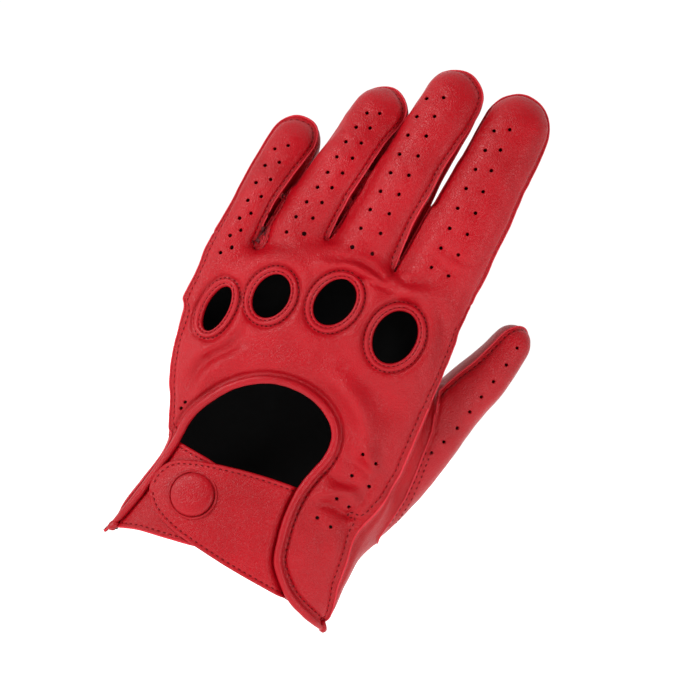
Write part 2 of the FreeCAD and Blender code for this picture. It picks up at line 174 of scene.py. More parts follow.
# Outlines in x, z of the strap and of the tab under it.
STRAP = [
    (-37.3, 22.6), (-37.0, 27.2), (-34.5, 32.0), (-29.9, 35.4), (-19.6, 39.0), (-3.0, 42.6),
    (14.1, 44.6), (27.0, 45.0), (29.0, 26.0), (29.5, 7.2), (25.1, 5.6), (16.1, 6.0), (-0.4, 7.4),
    (-18.3, 9.9), (-27.4, 12.3), (-32.8, 15.2), (-36.0, 18.8),
]
STUD_TAB = [
    (-46.0, 0.2), (-43.3, 1.6), (-35.0, 4.9), (-24.0, 7.0), (-13.0, 9.0), (-8.0, 11.0),
    (-7.0, 24.0), (-8.0, 37.0), (-20.0, 39.6), (-30.0, 40.2), (-36.0, 40.4), (-46.0, 41.0),
]
SNAP_AT = (-21.1, 25.5)

# ---- small maths -------------------------------------------------------------
def ease(t):
    """Smooth step from 0 to 1."""
    t = np.clip(t, 0.0, 1.0)
    return t * t * (3 - 2 * t)


def bell(distance, width):
    """1 on a line, falling away to both sides over about its width."""
    return np.exp(-(distance / width) ** 2)


def unit(v):
    """Vectors along the last axis, made one long."""
    return v / (np.linalg.norm(v, axis=-1, keepdims=True) + 1e-12)


def full_turn(count):
    return np.linspace(0, 2 * math.pi, count, endpoint=False)


def leaned(x, z, origin, degrees):
    """Places along and across a line that leans from +Z towards +X."""
    sin, cos = math.sin(math.radians(degrees)), math.cos(math.radians(degrees))
    x, z = x - origin[0], z - origin[-1]
    return x * sin + z * cos, x * cos - z * sin


def turned(a, b, angle):
    sin, cos = np.sin(angle), np.cos(angle)
    return a * cos - b * sin, a * sin + b * cos


def smooth_min(a, b, k):
    h = np.clip(0.5 + 0.5 * (b - a) / k, 0, 1)
    return b + (a - b) * h - k * h * (1 - h)


def smooth_max(a, b, k):
    return -smooth_min(-a, -b, k)


def smooth_line(points, step=0.5, closed=False):
    """Catmull-Rom curve through points, resampled at about every step."""
    p = np.asarray(points, float)
    ends = (p[-1:], p[:2]) if closed else (2 * p[:1] - p[1:2], 2 * p[-1:] - p[-2:-1])
    p = np.vstack([ends[0], p, ends[1]])
    t = np.linspace(0, 1, 24, endpoint=False)[:, None]
    out = [0.5 * (2 * b + (c - a) * t + (2 * a - 5 * b + 4 * c - d) * t ** 2
                  + (3 * b - a - 3 * c + d) * t ** 3)
           for a, b, c, d in zip(p[:-3], p[1:-2], p[2:-1], p[3:])]
    return resample(np.vstack(out + [p[-2][None]]), step)


def resample(line, step):
    """The same polyline with even steps."""
    gaps = np.linalg.norm(np.diff(line, axis=0), axis=1)
    along = np.concatenate([[0], np.cumsum(gaps)])
    count = max(2, int(round(along[-1] / step)) + 1)
    want = np.linspace(0, along[-1], count)
    return np.stack([np.interp(want, along, line[:, i]) for i in range(line.shape[1])], 1)


def soften(line, passes):
    """Average each point with its neighbours, several times."""
    p = line.copy()
    for _ in range(passes):
        p[1:-1] = 0.5 * p[1:-1] + 0.25 * (p[:-2] + p[2:])
    return p


def polygon_distance(x, z, outline):
    """Signed distance to a closed outline in the x-z plane, negative inside."""
    best = np.full(x.shape, 1e9)
    inside = np.zeros(x.shape, bool)
    for (ax, az), (bx, bz) in zip(outline, np.roll(outline, -1, 0)):
        ex, ez = bx - ax, bz - az
        t = np.clip(((x - ax) * ex + (z - az) * ez) / (ex * ex + ez * ez + 1e-12), 0, 1)
        best = np.minimum(best, (x - ax - t * ex) ** 2 + (z - az - t * ez) ** 2)
        inside ^= ((az > z) != (bz > z)) & (x < ex * (z - az) / (ez + 1e-12) + ax)
    return np.where(inside, -1, 1) * np.sqrt(best)


# ---- the leather's form ------------------------------------------------------
def hermite_columns(rows, step=0.5):
    """Smooth table of rows: first column is the place, the rest are values."""
    places = rows[:, 0]
    fine = np.arange(places[0], places[-1] + step / 2, step)
    slope = np.gradient(rows[:, 1:], places, axis=0)
    i = np.clip(np.searchsorted(places, fine, side="right") - 1, 0, len(places) - 2)
    gap = (places[i + 1] - places[i])[:, None]
    t = (fine - places[i])[:, None] / gap
    value = ((2 * t ** 3 - 3 * t ** 2 + 1) * rows[i, 1:] + (t ** 3 - 2 * t ** 2 + t) * slope[i] * gap
             + (3 * t ** 2 - 2 * t ** 3) * rows[i + 1, 1:] + (t ** 3 - t ** 2) * slope[i + 1] * gap)
    return fine, value


HAND_Z, HAND_VALUES = hermite_columns(HAND_ROWS)
THUMB_S, THUMB_VALUES = hermite_columns(THUMB_ROWS)


def hand_values(z):
    return [np.interp(z, HAND_Z, HAND_VALUES[:, i]) for i in range(7)]


def superellipse(u, v, wide, deep, power):
    """Distance-like value of a superellipse section and its slope."""
    u = np.abs(u) + 1e-5
    v = np.abs(v) + 1e-5
    r = (u ** power + v ** power) ** (1 / power)
    slope = np.hypot((u / r) ** (power - 1) / wide, (v / r) ** (power - 1) / deep)
    return r, slope


def hand_coords(x, y, z):
    left, right, back, palm, fall, seam_left, seam_right = hand_values(z)
    half = (right - left) / 2
    u = (x - (left + right) / 2) / half
    shifted = y + fall * u
    deep = np.where(shifted > 0, palm, back)
    return u, shifted / deep, half, deep, seam_left, seam_right


def hand_distance(x, y, z):
    u, v, half, deep, _, _ = hand_coords(x, y, z)
    r, slope = superellipse(u, v, half, deep, POWER)
    top = (z - np.interp(x, TOP_LINE[:, 0], TOP_LINE[:, 1])) * 0.9
    return smooth_max((r - 1) / slope, top, 5.0)


def limb(across, into, wide, deep, power, end, reach):
    """Distance-like value of a finger or thumb whose end is rounded over reach."""
    q, slope = superellipse(across / wide, into / deep, wide, deep, power)
    r = np.hypot(q, end)
    return (r - 1) / np.hypot(slope * q / r, end / r / reach)


def finger_coords(name, x, y, z):
    """Place along a finger, across it and into it, with its half sizes there."""
    hinge, lean, roll, length, w0, w1, d0, d1, curl, _ = FINGERS[name]
    s, a = leaned(x, z, hinge, lean)
    f = np.clip(s / length, 0, 1)
    across, into = turned(a, y - hinge[1] - curl * f * f, np.radians(roll) * ease((s + 16) / 34))
    knuckle = 0.45 * bell(s - 0.40 * length, 9) + 0.3 * bell(s - 0.72 * length, 6)
    root = 1 - 0.4 * ease((-s - 6) / 24)
    wide = (w0 + (w1 - w0) * f + knuckle) * root
    deep = (d0 + (d1 - d0) * f + knuckle * 0.5) * root
    return s, across, into, wide, deep


def finger_distance(name, x, y, z):
    s, across, into, wide, deep = finger_coords(name, x, y, z)
    reach = FINGERS[name][5] * 1.12
    past = np.clip((s - FINGERS[name][3]) / reach + 1, 0, None)
    return np.maximum(limb(across, into, wide, deep, FINGER_POWER, past, reach), -(s + 34))


def thumb_coords(x, y, z):
    s, a = leaned(x, z, THUMB_HINGE, THUMB_LEAN)
    a = a + 1.4 * ease((s - 20) / 20) - 0.8 * ease((s - 4) / 14)
    wide, deep, shift = [np.interp(s, THUMB_S, THUMB_VALUES[:, i]) for i in range(3)]
    across, into = turned(a, y - THUMB_HINGE[1] - shift, math.radians(-16))
    return s, across, into, wide, deep


def thumb_distance(x, y, z):
    s, across, into, wide, deep = thumb_coords(x, y, z)
    reach = 8.5
    past = np.clip((s - THUMB_END) / reach + 1, 0, None)
    below = np.clip((-60 - s) / 12, 0, None)
    return limb(across, into, wide, deep, 2.3, np.hypot(past ** 1.2, below), reach)


def slit(index, x, y, z):
    """Place across the gap between two fingers, and height over their crotch."""
    crotch = CROTCHES[index]
    lean, roll = np.mean([FINGERS[name][1:3] for name in NAMES[index:index + 2]], axis=0)
    up, side = leaned(x, z, crotch, lean)
    turn = math.radians(roll) * (0.75 + 0.25 * ease((up + 2) / 26))
    return side * np.cos(turn) - (y - crotch[1] - 0.05 * up) * np.sin(turn), up


# Grid that the heights of folds and waves are kept on.
RELIEF_STEP = 0.5
RELIEF_X = np.arange(-66, 78, RELIEF_STEP)
RELIEF_Z = np.arange(-14, 220, RELIEF_STEP)


def blurred_noise(shape, size, seed):
    """Even random field, blurred to features about size cells across."""
    field = np.random.default_rng(seed).standard_normal(shape)
    fx = np.fft.fftfreq(shape[0])[:, None]
    fz = np.fft.fftfreq(shape[1])[None, :]
    keep = np.exp(-2 * (math.pi * size / 2.5) ** 2 * (fx * fx + fz * fz))
    out = np.fft.ifft2(np.fft.fft2(field) * keep).real
    return out / out.std()


def perforation_centres():
    """All ventilation holes of the back as (x, z)."""
    out = []
    for start, end, count in PERFORATIONS.values():
        for i in range(count):
            t = i / (count - 1)
            for a, b in zip(start, end):
                sway = 0.35 * math.sin(5.1 * i + a[0])
                out.append((a[0] + (b[0] - a[0]) * t + sway, a[1] + (b[1] - a[1]) * t))
    return np.array(out + WING_HOLES + THUMB_HOLES)


def make_relief():
    """Heights of the folds and soft waves over the back, on an even grid."""
    gx, gz = np.meshgrid(RELIEF_X, RELIEF_Z, indexing="ij")
    height = np.zeros(gx.shape)
    for points, rise, width in FOLDS:
        line = smooth_line(points, 0.8)
        best = np.full(gx.shape, 1e9)
        place = np.zeros(gx.shape)
        for i, (px, pz) in enumerate(line):
            d = (gx - px) ** 2 + (gz - pz) ** 2
            place = np.where(d < best, i / (len(line) - 1), place)
            best = np.minimum(d, best)
        fade = np.sin(np.pi * np.clip(place * 0.86 + 0.07, 0, 1)) ** 0.7
        height += 2.5 * rise * fade * np.exp(-best / (2 * width * width))
    for knuckle in KNUCKLES.values():
        d = ellipse_distance(gx, gz, knuckle)
        height += 0.45 * bell(d - 6.5, 2.6) - 0.85 * bell(d - RING_WIDTH - 0.35, 0.9)
    edge = polygon_distance(gx, gz, smooth_line(OPENING, 1.5))
    height += 0.4 * bell(edge - 7.0, 3.0) * (gz > 40) - 1.15 * bell(edge - 2.4, 1.1)
    for cx, cz in HOLES:
        height -= 0.28 * np.exp(-((gx - cx) ** 2 + (gz - cz) ** 2) / 2.6)
    return height + 0.22 * blurred_noise(gx.shape, 26, 3) + 0.07 * blurred_noise(gx.shape, 9, 4)


def ellipse_distance(x, z, knuckle):
    """About the distance outside an oval knuckle hole, negative inside."""
    long_radius, short_radius, tilt = knuckle[2:]
    along, across = leaned(x, z, knuckle[:2], tilt)
    r = np.hypot(along / long_radius, across / short_radius) + 1e-6
    slope = np.hypot(along / long_radius ** 2, across / short_radius ** 2) / r
    return (r - 1) / np.maximum(slope, 1e-3)


HOLES = perforation_centres()
OPENING_LINE = smooth_line(OPENING, 1.0)


RELIEF = make_relief()
PALM_WAVES = 0.3 * blurred_noise(RELIEF.shape, 30, 8) + 0.07 * blurred_noise(RELIEF.shape, 10, 9)


def read_map(field, x, z):
    """Bilinear reading of a map on the relief grid."""
    i = np.clip((x - RELIEF_X[0]) / RELIEF_STEP, 0, len(RELIEF_X) - 1.001)
    k = np.clip((z - RELIEF_Z[0]) / RELIEF_STEP, 0, len(RELIEF_Z) - 1.001)
    a, b = i.astype(int), k.astype(int)
    u, v = i - a, k - b
    return ((1 - u) * ((1 - v) * field[a, b] + v * field[a, b + 1])
            + u * ((1 - v) * field[a + 1, b] + v * field[a + 1, b + 1]))


def form(p):
    """Distance-like value of the whole glove's outer skin at points p."""
    x, y, z = p[..., 0], p[..., 1], p[..., 2]
    fingers = np.minimum.reduce([finger_distance(name, x, y, z) for name in NAMES])
    f = smooth_min(hand_distance(x, y, z), fingers, 5.0)
    for index, (top, shift, half, reach) in enumerate(WEBS):
        gap, up = slit(index, x, y, z)
        depth = np.abs(y - CROTCHES[index][1] - 0.05 * up - shift) - half
        web = np.maximum(np.maximum(np.abs(gap) - reach, depth), np.abs(up - top / 2 + 3) - top / 2 - 3)
        cutter = np.maximum(np.abs(gap) - (0.42 + 0.016 * np.clip(up, 0, 40)), -up)
        f = smooth_max(smooth_min(f, web, 2.5), -cutter, 1.3)
    f = smooth_min(f, thumb_distance(x, y, z), 5.0)
    back = ease((3 - y) / 5)
    return f - read_map(RELIEF, x, z) * back - read_map(PALM_WAVES, x, z) * (1 - back)


def slope_of(p, step=0.08):
    """Gradient of the form at points p."""
    out = np.empty_like(p)
    for axis in range(3):
        shift = np.zeros(3)
        shift[axis] = step
        out[:, axis] = (form(p + shift) - form(p - shift)) / (2 * step)
    return out


def settle(points, reach):
    """Points moved towards the skin, each by reach at most."""
    g = slope_of(points)
    return points - g * np.clip(form(points) / (g * g).sum(1), -reach, reach)[:, None]


def on_skin(points):
    """Points moved onto the skin, and the skin's outward normals there."""
    points = settle(points, 1.5)
    return points, unit(slope_of(points, 0.3))


def back_point(x, z):
    """The first skin point met from the back side at each x, z."""
    p = np.stack([x, np.full(len(x), -40.0), z], 1).astype(float)
    for _ in range(70):
        p[:, 1] += np.clip(form(p) * 0.8, -2, 4)
        p[:, 1] = np.minimum(p[:, 1], 40)
    return p


# ---- mesh tools --------------------------------------------------------------
def surface_nets(low, high, step):
    """Triangles round the form inside a box, from an even grid of readings."""
    axes = [np.arange(a, b + step, step) for a, b in zip(low, high)]
    f = np.stack([form(layer) for layer in np.stack(np.meshgrid(*axes, indexing="ij"), -1)])
    shape = np.array(f.shape) - 1
    total, count = np.zeros((*shape, 3)), np.zeros(shape)

    def part(c):
        return f[c[0]:c[0] + shape[0], c[1]:c[1] + shape[1], c[2]:c[2] + shape[2]]

    for number in range(8):
        corner = np.array([number >> 2, (number >> 1) & 1, number & 1])
        for axis in np.flatnonzero(corner == 0):
            along = np.eye(3, dtype=int)[axis]
            start, end = part(corner), part(corner + along)
            mixed = (start < 0) != (end < 0)
            t = np.where(mixed, start / np.where(mixed, start - end, 1), 0)
            total += mixed[..., None] * (corner + t[..., None] * along)
            count += mixed
    active = count > 0
    index = -np.ones(shape, int)
    index[active] = np.arange(active.sum())
    points = (np.argwhere(active) + total[active] / count[active][:, None]) * step + np.array(low)
    inside = f < 0
    quads = []
    for axis in range(3):
        sides = [(axis + 1) % 3, (axis + 2) % 3]
        at = np.argwhere(np.diff(inside, axis=axis))
        at = at[((at[:, sides] > 0) & (at[:, sides] < shape[sides])).all(1)]
        ring = []
        for step_back in ((-1, -1), (0, -1), (0, 0), (-1, 0)):
            cell = at.copy()
            cell[:, sides] += step_back
            ring.append(index[tuple(cell.T)])
        quad = np.stack(ring, 1)
        outside = ~inside[tuple(at.T)]
        quad[outside] = quad[outside][:, ::-1]
        quads.append(quad)
    q = np.vstack(quads)
    q = q[(q >= 0).all(1)]
    return points, np.vstack([q[:, [0, 1, 2]], q[:, [0, 2, 3]]])


def edge_index(faces):
    """Unique edges, and each face's three edges (01, 12, 20)."""
    e = np.stack([faces, np.roll(faces, -1, 1)], -1)
    e.sort(-1)
    keys, back = np.unique(e.reshape(-1, 2), axis=0, return_inverse=True)
    return keys, back.reshape(-1, 3)


def refine(points, faces, wanted):
    """Split the edges that wanted(midpoints, lengths) marks, without cracks."""
    edges, of_face = edge_index(faces)
    a, b = points[edges[:, 0]], points[edges[:, 1]]
    middle = (a + b) / 2
    mark = wanted(middle, np.linalg.norm(a - b, axis=1))
    number = np.full(len(edges), -1)
    number[mark] = len(points) + np.arange(mark.sum())
    # Columns 0 to 2 are a face's corners, 3 to 5 the midpoints of its edges.
    both = np.hstack([faces, number[of_face]])
    cut = both[:, 3:] >= 0
    count = cut.sum(1)
    out = [faces[count == 0]]
    out += [both[count == 3][:, t] for t in ([0, 3, 5], [3, 1, 4], [5, 4, 2], [3, 4, 5])]
    for k in range(3):
        order = [(k + i) % 3 + shift for shift in (0, 3) for i in range(3)]
        one = both[(count == 1) & cut[:, k]][:, order]
        two = both[(count == 2) & ~cut[:, k]][:, order]
        out += [one[:, t] for t in ([0, 3, 2], [3, 1, 2])]
        out += [two[:, t] for t in ([2, 5, 4], [0, 1, 4], [0, 4, 5])]
    return np.vstack([points, middle[mark]]), np.vstack(out)


def compact(skin):
    """The same skin without unused points."""
    used = np.unique(skin["faces"])
    number = np.full(len(skin["points"]), -1)
    number[used] = np.arange(len(used))
    return {**{part: skin[part][used] for part in ("points", "normals", "fields")},
            "faces": number[skin["faces"]]}


def crossings(skin, phi):
    """Where phi crosses zero: the cut edges, the place on each, and the cut
    triangles as (corners with the lone one first, lone one is positive, edges)."""
    phi = np.where(np.abs(phi) < 1e-5, 1e-5, phi)
    f = skin["faces"]
    positive = phi[f] > 0
    count = positive.sum(1)
    groups = []
    for k in range(3):
        for lone in (True, False):
            pick = (count == (1 if lone else 2)) & (positive[:, k] == lone)
            groups.append((f[pick][:, [k, (k + 1) % 3, (k + 2) % 3]], lone))
    pairs = [g[:, [0, other]] for g, _ in groups for other in (1, 2)]
    keys, back = np.unique(np.sort(np.vstack(pairs), 1), axis=0, return_inverse=True)
    t = phi[keys[:, 0]] / (phi[keys[:, 0]] - phi[keys[:, 1]])
    ends = np.split(back.reshape(-1), np.cumsum([len(pair) for pair in pairs])[:-1])
    return count, keys, t[:, None], [(*group, *ends[2 * i:2 * i + 2]) for i, group in enumerate(groups)]


def between(values, keys, t):
    return values[keys[:, 0]] + (values[keys[:, 1]] - values[keys[:, 0]]) * t


def split(skin, phi):
    """Cut a skin where phi crosses zero: the negative and the positive part."""
    count, keys, t, groups = crossings(skin, phi)
    low, high = [skin["faces"][count == 0]], [skin["faces"][count == 3]]
    whole = {part: np.vstack([skin[part], between(skin[part], keys, t)]) for part in ("points", "fields")}
    whole["normals"] = np.vstack([skin["normals"], unit(between(skin["normals"], keys, t))])
    for g, lone, first, second in groups:
        first, second = len(skin["points"]) + first, len(skin["points"]) + second
        tip, rest = (high, low) if lone else (low, high)
        tip.append(np.stack([g[:, 0], first, second], 1))
        rest += [np.stack([first, g[:, 1], g[:, 2]], 1), np.stack([first, g[:, 2], second], 1)]
    return [compact({**whole, "faces": np.vstack(side)}) for side in (low, high)]


def contour(skin, phi, shortest=4.0):
    """Polylines (points, normals) along phi = 0 on a skin."""
    _, keys, t, groups = crossings(skin, phi)
    both = np.hstack([between(skin["points"], keys, t), between(skin["normals"], keys, t)])
    link = {}
    for _, _, first, second in groups:
        for a, b in zip(first.tolist(), second.tolist()):
            link.setdefault(a, []).append(b)
            link.setdefault(b, []).append(a)
    done = set()
    lines = []
    for start in [v for v, n in link.items() if len(n) == 1] + list(link):
        if start in done:
            continue
        line, onward = [], [start]
        while onward:
            line.append(onward[0])
            done.add(onward[0])
            onward = [v for v in link[line[-1]] if v not in done]
        if len(line) > 2 and line[0] in link[line[-1]]:
            line.append(line[0])
        if np.linalg.norm(np.diff(both[line, :3], axis=0), axis=1).sum() > shortest:
            lines.append(both[line])
    return lines


def thicken(skin, depth, plain_edge=None):
    """Closed leather of a given depth under a skin, with rounded cut edges."""
    p, n, f = skin["points"], skin["normals"], skin["faces"]
    count = len(p)
    directed = np.vstack([f[:, [0, 1]], f[:, [1, 2]], f[:, [2, 0]]])
    _, back, times = np.unique(np.sort(directed, 1), axis=0, return_inverse=True, return_counts=True)
    rim = directed[times[back.reshape(-1)] == 1]
    outward = np.zeros_like(p)
    side = np.cross(p[rim[:, 1]] - p[rim[:, 0]], n[rim[:, 0]])
    np.add.at(outward, rim[:, 0], side)
    np.add.at(outward, rim[:, 1], side)
    at = np.unique(rim)
    outward = unit(outward[at])
    number = np.full(count, -1)
    number[at] = 2 * count + np.arange(len(at))
    bulge = np.full(len(at), 0.3 * depth)
    if plain_edge is not None:
        bulge[plain_edge(p[at])] = 0.0
    middle = p[at] - n[at] * depth * 0.5 + outward * bulge[:, None]
    a, b = rim.T
    ma, mb = number[a], number[b]
    sides = [np.stack(t, 1) for t in (
        (b, a, ma), (b, ma, mb), (mb, ma, a + count), (mb, a + count, b + count))]
    faces = np.vstack([f, f[:, ::-1] + count, *sides])
    inner = np.zeros(len(faces), int)
    inner[len(f):2 * len(f)] = 1
    return np.vstack([p, p - n * depth, middle]), faces, np.vstack([n, -n, outward]), inner


def make_object(name, points, faces, materials, normals=None, slots=None):
    """New Blender object from arrays in millimetres."""
    mesh = bpy.data.meshes.new(name)
    sizes = [len(face) for face in faces]
    mesh.vertices.add(len(points))
    mesh.vertices.foreach_set("co", (points * MM).astype(np.float32).ravel())
    mesh.loops.add(sum(sizes))
    mesh.loops.foreach_set("vertex_index", np.concatenate(faces).astype(np.int32))
    mesh.polygons.add(len(sizes))
    mesh.polygons.foreach_set("loop_start", np.cumsum([0] + sizes[:-1]).astype(np.int32))
    mesh.update(calc_edges=True)
    mesh.validate()
    mesh.shade_smooth()
    for material in materials:
        mesh.materials.append(material)
    if slots is not None and len(slots) == len(mesh.polygons):
        mesh.polygons.foreach_set("material_index", slots.astype(np.int32))
    if normals is not None and len(normals) == len(mesh.vertices):
        mesh.normals_split_custom_set_from_vertices(normals.astype(float).tolist())
    obj = bpy.data.objects.new(name, mesh)
    bpy.context.scene.collection.objects.link(obj)
    return obj


# ---- materials ---------------------------------------------------------------
def linear(r, g, b):
    """Linear colour of an 8-bit screen colour."""
    out = []
    for v in (r, g, b):
        v /= 255
        out.append(v / 12.92 if v <= 0.04045 else ((v + 0.055) / 1.055) ** 2.4)
    return (*out, 1.0)


def feed(tree, made, inputs):
    """Set a node's inputs: each is a constant or the socket that drives it."""
    for key, value in inputs.items():
        if isinstance(value, bpy.types.NodeSocket):
            tree.links.new(value, made.inputs[key])
        else:
            made.inputs[key].default_value = value


def new_material(name):
    """A material, its node tree, its shader and its object coordinates."""
    material = bpy.data.materials.new(name)
    material.use_nodes = True
    tree = material.node_tree
    return material, tree, tree.nodes["Principled BSDF"], node(tree, "TexCoord", {})["Object"]


def node(tree, kind, inputs, **settings):
    """New shader node's outputs."""
    made = tree.nodes.new("ShaderNode" + kind)
    for key, value in settings.items():
        setattr(made, key, value)
    feed(tree, made, inputs)
    return made.outputs


def leather(name, colour, dark, roughness=0.37, grain=1.0):
    """Dyed glove leather: fine pebble grain, soft creases and uneven dye."""
    material, tree, shader, place = new_material(name)

    def noise(scale, detail, **more):
        return node(tree, "TexNoise", {"Vector": place, "Scale": scale, "Detail": detail, **more})

    def spread(value, low, high, ends="From"):
        return node(tree, "MapRange", {"Value": value, ends + " Min": low, ends + " Max": high})["Result"]

    def add(value, times, other, **settings):
        return node(tree, "Math", {0: value, 1: times, 2: other}, operation="MULTIPLY_ADD", **settings)["Value"]

    warped = node(tree, "Mix", {0: 0.0016, 4: place, 5: noise(420.0, 3.0)["Color"]}, data_type="VECTOR")[1]
    pebble = node(tree, "TexVoronoi", {"Vector": warped, "Scale": 1150.0}, feature="DISTANCE_TO_EDGE")
    cell = spread(pebble["Distance"], 0.0, 0.22)
    folds = noise(260.0, 5.0, Roughness=0.6)["Fac"]
    height = add(folds, 1.6, add(noise(2600.0, 4.0)["Fac"], 0.2, cell))
    tone = spread(noise(38.0, 4.0)["Fac"], 0.28, 0.6)
    shade = add(cell, 0.25, add(tone, 0.75, 0.0), use_clamp=True)
    bump = node(tree, "Bump", {"Height": height, "Strength": 0.5 * grain, "Distance": 0.00016})
    feed(tree, shader, {
        "Base Color": node(tree, "Mix", {0: shade, 6: dark, 7: colour}, data_type="RGBA")[2],
        "Normal": bump["Normal"], "Roughness": spread(folds, roughness - 0.06, roughness + 0.08, "To"),
        "IOR": 1.5, "Specular IOR Level": 0.23})
    return material


def cloth(name, colour, scale, roughness):
    """Matt thread or thin woven lining."""
    material, tree, shader, place = new_material(name)
    weave = node(tree, "TexWave", {"Vector": place, "Scale": scale, "Distortion": 1.5, "Detail": 2.0})["Fac"]
    dark = (*(v * 0.7 for v in colour[:3]), 1.0)
    feed(tree, shader, {
        "Base Color": node(tree, "Mix", {0: weave, 6: dark, 7: colour}, data_type="RGBA")[2],
        "Normal": node(tree, "Bump", {"Height": weave, "Strength": 0.4, "Distance": 0.0001})["Normal"],
        "Roughness": roughness, "Specular IOR Level": 0.1})
    return material


def metal(name):
    """Dark plated press-stud metal with fine scratches."""
    material, tree, shader, place = new_material(name)
    scratches = node(tree, "TexNoise", {"Vector": place, "Scale": 900.0, "Detail": 5.0})["Fac"]
    rough = node(tree, "MapRange", {"Value": scratches, "To Min": 0.22, "To Max": 0.42})["Result"]
    feed(tree, shader, {"Roughness": rough, "Metallic": 1.0, "Base Color": (0.22, 0.22, 0.23, 1.0)})
    return material


RED = leather("red_leather", linear(163, 2, 18), linear(142, 2, 12))
BINDING_RED = leather("red_binding_leather", linear(161, 4, 20), linear(141, 3, 14), 0.34, 0.7)
EDGE_RED = leather("red_cut_edge", linear(196, 44, 56), linear(172, 16, 28), 0.55, 0.6)
# Inner face of most leather pieces: a dark red-brown painted shade, so the inside seen through holes and
# openings looks shadowed.
FLESH_SIDE_SHADE = cloth("flesh_side_painted_shade", (0.15, 0.03, 0.033, 1.0), 900.0, 0.95)
# Inner face of the thumb root and underside of the stud tab: painted black shade, so the inside of the glove
# and the underside of the tab look dark.
BLACK_INNER_SHADE = cloth("flesh_side_painted_black_shade", (0.004, 0.003, 0.003, 1.0), 900.0, 0.95)
# Lining cloth inside the palm: its black is painted shade that darkens what the holes and openings show.
LINING = cloth("black_lining", (0.003, 0.003, 0.003, 1.0), 1400.0, 0.97)
# Stitch thread: red, darkened to paint the shade of the stitch holes as well.
THREAD = cloth("red_thread_with_painted_hole_shade", linear(104, 6, 14), 3200.0, 0.6)
METAL = metal("snap_metal")


# ---- fields that part one panel from the next --------------------------------
def panel_fields(p):
    """Two fields in mm: back panel where the first is negative, palm panel
    where the second is negative, and finger side wall where neither is."""
    x, y, z = p.T
    u, v, _, deep, seam_left, seam_right = hand_coords(x, y, z)
    side = ease((u + 1) / 2)
    hand_back = (v + seam_left * (1 - side) + seam_right * side) * deep
    number = sum(slit(index, x, y, z)[0] > 0 for index in range(3))
    back, palm = np.zeros((2, len(p)))
    for i, name in enumerate(NAMES):
        pick = number == i
        s, across, into, wide, depth = finger_coords(name, x[pick], y[pick], z[pick])
        length, walls = FINGERS[name][3], FINGERS[name][9]
        closing = 0.40 * (1 - ease((s - 0.45 * length) / (0.5 * length)))
        open_by = closing * np.where(across > 0, walls[1], walls[0])
        right = ease(across / wide + 0.5)
        middle = SEAM_LEVELS[name][0] * (1 - right) + SEAM_LEVELS[name][1] * right
        start, over = (26, 16) if name in ("ring", "middle") else (20, 12)
        mix = ease((s + start) / over)
        hand = hand_back[pick] * (1 - mix)
        back[pick] = hand + (into / depth - middle + open_by * 0.62) * depth * mix
        palm[pick] = -hand + (middle + open_by * 1.5 - into / depth) * depth * mix
    return back, palm


def finger_plane(name, p):
    """Height over the plane where a finger's panels part from the hand's."""
    return leaned(p[:, 0], p[:, 2], *FINGERS[name][:2])[0] + CUT_BELOW_HINGE


def thumb_plane(p):
    along = leaned(p[:, 0], p[:, 2], THUMB_HINGE, THUMB_LEAN)[0] + CUT_BELOW_HINGE
    away = p[:, 0] - np.interp(p[:, 2], [90, 101, 112, 136], [43.0, 44.6, 46.0, 52.0])
    return np.minimum(along, np.where(p[:, 1] > 6, away + 3, away))


# Outline that the thumb's leather lies in, past its seam.
THUMB_PIECE = np.array([
    (41.5, 112.0), (43.4, 104.5), (46.2, 94.0), (48.9, 84.0), (49.4, 76.0), (50.2, 66.0), (50.4, 57.0),
    (49.2, 48.0), (47.8, 40.0), (49.0, 34.0), (80.0, 34.0), (80.0, 150.0), (41.5, 150.0)], float)


def thumb_root_field(p):
    """Positive on the leather of the thumb, past the seam that sets it in."""
    shift = 7.0 * ease((p[:, 1] - 9) / 12)
    return -polygon_distance(p[:, 0] + shift, p[:, 2] + 1.6 * shift, THUMB_PIECE)


def thumb_ridge_field(p):
    """Negative on the back of the thumb, zero along its ridge seams."""
    _, across, into, wide, deep = thumb_coords(*p.T)
    side = ease(across / wide * 0.5 + 0.5)
    return into + (0.52 * (1 - side) - 0.35 * side) * deep


def hole_field(p):
    """Distance outside the nearest ventilation hole of the back."""
    x, y, z = p.T
    best = np.full(len(p), 50.0)
    front = y < np.where(x > 45, 14.0, np.where(z > 140, 9.0, 5.0))
    for cx, cz in HOLES:
        near = front & (np.abs(x - cx) < 4) & (np.abs(z - cz) < 4)
        best[near] = np.minimum(best[near], np.hypot(x[near] - cx, z[near] - cz) - PERFORATION)
    return best


# ---- build the leather -------------------------------------------------------
def wanted_edges(limit):
    """Marks the edges longer than limit beside seams, holes and folds."""
    def mark(middle, length):
        fields = all_fields(middle)
        seam = (np.abs(fields[:, :4]).min(1) < 2.6) & (length > limit)
        near = (fields[:, HOLE] < 1.0) & (length > limit * 0.5)
        x, y, z = middle.T
        ring = np.abs(polygon_distance(x, z, OPENING_LINE)) < 4.5
        for knuckle in KNUCKLES.values():
            ring |= np.abs(ellipse_distance(x, z, knuckle) - 1.5) < 4.5
        return seam | near | (ring & (y < 5) & (length > limit * 1.3))
    return mark


BACK, PALM, ROOT, RIDGE, HOLE = range(5)


def all_fields(p):
    """Every field that parts or pierces the leather, one column each."""
    back, palm = panel_fields(p)
    root = thumb_root_field(p)
    ridge = np.where(root > 0.5, thumb_ridge_field(p), 30.0)
    back = back + np.where((root > 3) & (np.abs(back) < 30), 30.0, 0.0)
    return np.stack([back, palm, root, ridge, hole_field(p)], 1)


